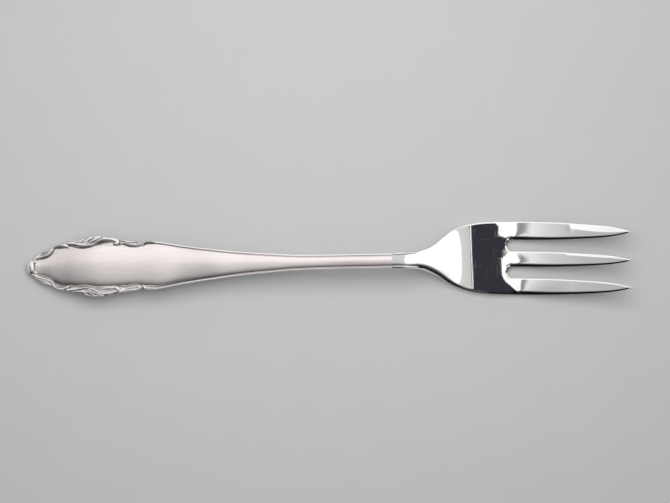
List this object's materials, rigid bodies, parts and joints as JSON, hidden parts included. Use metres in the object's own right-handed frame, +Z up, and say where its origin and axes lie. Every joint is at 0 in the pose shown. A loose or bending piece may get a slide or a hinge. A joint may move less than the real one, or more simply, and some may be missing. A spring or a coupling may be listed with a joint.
{
  "type": "pastry fork",
  "caption": "Pastry fork with a polished head, a wider cutting tine and a satin hollow handle with a pressed scroll and leaf border.",
  "frame": {"origin": "on the table under the middle of the fork, half way between the end of the handle and the tips", "axes": "+X along the fork from the handle to the tips, +Y across it towards the cutting tine, +Z up, away from the table"},
  "size_m": [0.155, 0.0189, 0.0095],
  "materials": {
    "polished_steel": "mirror-polished stainless steel",
    "satin_steel": "satin, brushed lengthwise",
    "cutlers_cement": "cast resin cement"
  },
  "bodies": {
    "root": {"head": "polished_steel", "handle_front_shell": "satin_steel", "handle_back_shell": "satin_steel", "handle_filler": "cutlers_cement"}
  },
  "joints": []
}
